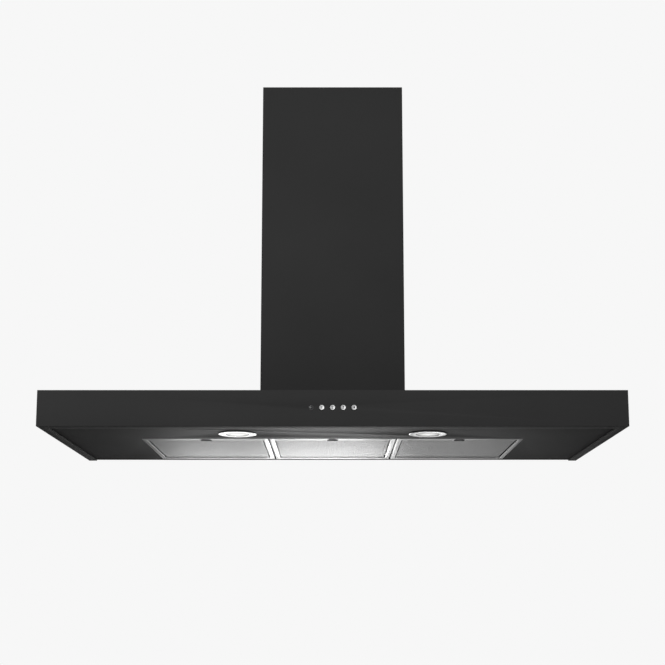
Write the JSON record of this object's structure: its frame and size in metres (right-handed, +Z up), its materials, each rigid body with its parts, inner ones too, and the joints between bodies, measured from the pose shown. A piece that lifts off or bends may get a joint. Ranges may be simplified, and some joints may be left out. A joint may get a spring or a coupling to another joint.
{
  "type": "chimney range hood",
  "caption": "Wall-mounted T-shaped chimney hood: flat black canopy with grease filters and lamps below, push buttons in front, and a telescoping chimney over a ducted blower.",
  "frame": {"origin": "middle of the flat outer face of the canopy's rear wall, where it meets the kitchen wall", "axes": "+Z up, +Y into the wall (the front faces -Y), +X to the right as seen from the front"},
  "size_m": [1.1, 0.5008, 0.7803],
  "materials": {
    "black_steel": "matt black powder coat on sheet steel, fine texture",
    "galvanised": "zinc-coated sheet steel, dull grey with faint spangle",
    "aluminium": "satin anodised aluminium channel",
    "mesh": "layers of fine expanded aluminium mesh",
    "chrome": "polished bright plating",
    "button_metal": "silver-white satin button caps with small grey marks",
    "black_plastic": "matt black moulded plastic",
    "white_plastic": "white moulded plastic",
    "lens": "frosted lamp glass, lit from behind",
    "smoked": "smoked clear plastic",
    "circuit": "green glass-fibre circuit board",
    "foam": "closed-cell foam seal, black",
    "rubber": "black rubber",
    "motor_iron": "bare motor housing, dull grey",
    "cable": "black cable sheath"
  },
  "bodies": {
    "root": {"canopy_shell": "black_steel", "underside_panel": "black_steel", "hanging_plate_left": "galvanised", "hanging_plate_right": "galvanised", "control_housing": "black_plastic", "control_board": "circuit", "indicator_lens": "smoked", "electrics_box": "black_plastic", "electrics_lid": "black_plastic", "lamp_driver": "white_plastic", "terminal_block": "white_plastic", "chimney_lower": "black_steel", "chimney_clip_left": "galvanised", "chimney_clip_right": "galvanised", "blower_box": "galvanised", "blower_seal": "foam", "capacitor": "white_plastic", "cable_gland": "black_plastic", "scroll_left": "black_plastic", "scroll_right": "black_plastic", "motor_body": "motor_iron", "motor_bracket": "galvanised", "outlet_collar": "black_plastic", "damper_pin": "galvanised", "control_cable": "cable", "lamp_cable_left": "cable", "lamp_cable_right": "cable", "blower_cable": "cable", "lamp_bezel_left": "chrome", "lamp_lens_left": "lens", "lamp_housing_left": "galvanised", "lamp_board_left": "circuit", "lamp_bezel_right": "chrome", "lamp_lens_right": "lens", "lamp_housing_right": "galvanised", "lamp_board_right": "circuit", "motor_mount_1": "rubber", "motor_mount_2": "rubber", "motor_mount_3": "rubber"},
    "rotor": {"impeller": "black_plastic", "motor_shaft": "chrome"},
    "flap_front": {"damper_flap_front": "white_plastic"},
    "flap_rear": {"damper_flap_rear": "white_plastic"},
    "chimney_extension": {"chimney_upper": "black_steel", "chimney_wall_bracket": "galvanised"},
    "push_button_1": {"button_1": "button_metal"},
    "push_button_2": {"button_2": "button_metal"},
    "push_button_3": {"button_3": "button_metal"},
    "push_button_4": {"button_4": "button_metal"},
    "filter_left": {"filter_frame_left": "aluminium", "filter_mesh_left": "mesh"},
    "latch_left": {"filter_latch_left": "black_plastic"},
    "filter_middle": {"filter_frame_middle": "aluminium", "filter_mesh_middle": "mesh"},
    "latch_middle": {"filter_latch_middle": "black_plastic"},
    "filter_right": {"filter_frame_right": "aluminium", "filter_mesh_right": "mesh"},
    "latch_right": {"filter_latch_right": "black_plastic"}
  },
  "joints": [
    {"name": "fan_spin", "type": "hinge", "parent": "root", "child": "rotor", "pos_m": [0, -0.125, 0.1866], "axis": [1, 0, 0], "continuous": true},
    {"name": "flap_front_hinge", "type": "hinge", "parent": "root", "child": "flap_front", "pos_m": [0, -0.125, 0.3926], "axis": [-1, 0, 0], "range_deg": [0, 75]},
    {"name": "flap_rear_hinge", "type": "hinge", "parent": "root", "child": "flap_rear", "pos_m": [0, -0.125, 0.3926], "axis": [1, 0, 0], "range_deg": [0, 75]},
    {"name": "chimney_extend", "type": "slide", "parent": "root", "child": "chimney_extension", "axis": [0, 0, 1], "range_m": [0, 0.38]},
    {"name": "button_1_press", "type": "slide", "parent": "root", "child": "push_button_1", "axis": [0, 1, 0], "range_m": [0, 0.0015], "stiffness_N_per_m": 500, "springref_m": -0.001},
    {"name": "button_2_press", "type": "slide", "parent": "root", "child": "push_button_2", "axis": [0, 1, 0], "range_m": [0, 0.0015], "stiffness_N_per_m": 500, "springref_m": -0.001},
    {"name": "button_3_press", "type": "slide", "parent": "root", "child": "push_button_3", "axis": [0, 1, 0], "range_m": [0, 0.0015], "stiffness_N_per_m": 500, "springref_m": -0.001},
    {"name": "button_4_press", "type": "slide", "parent": "root", "child": "push_button_4", "axis": [0, 1, 0], "range_m": [0, 0.0015], "stiffness_N_per_m": 500, "springref_m": -0.001},
    {"name": "filter_left_drop", "type": "hinge", "parent": "root", "child": "filter_left", "pos_m": [0, -0.009, -0.032], "axis": [1, 0, 0], "range_deg": [0, 80]},
    {"name": "latch_left_slide", "type": "slide", "parent": "filter_left", "child": "latch_left", "axis": [0, 1, 0], "range_m": [0, 0.006], "stiffness_N_per_m": 300, "springref_m": -0.004},
    {"name": "filter_middle_drop", "type": "hinge", "parent": "root", "child": "filter_middle", "pos_m": [0, -0.009, -0.032], "axis": [1, 0, 0], "range_deg": [0, 80]},
    {"name": "latch_middle_slide", "type": "slide", "parent": "filter_middle", "child": "latch_middle", "axis": [0, 1, 0], "range_m": [0, 0.006], "stiffness_N_per_m": 300, "springref_m": -0.004},
    {"name": "filter_right_drop", "type": "hinge", "parent": "root", "child": "filter_right", "pos_m": [0, -0.009, -0.032], "axis": [1, 0, 0], "range_deg": [0, 80]},
    {"name": "latch_right_slide", "type": "slide", "parent": "filter_right", "child": "latch_right", "axis": [0, 1, 0], "range_m": [0, 0.006], "stiffness_N_per_m": 300, "springref_m": -0.004}
  ]
}
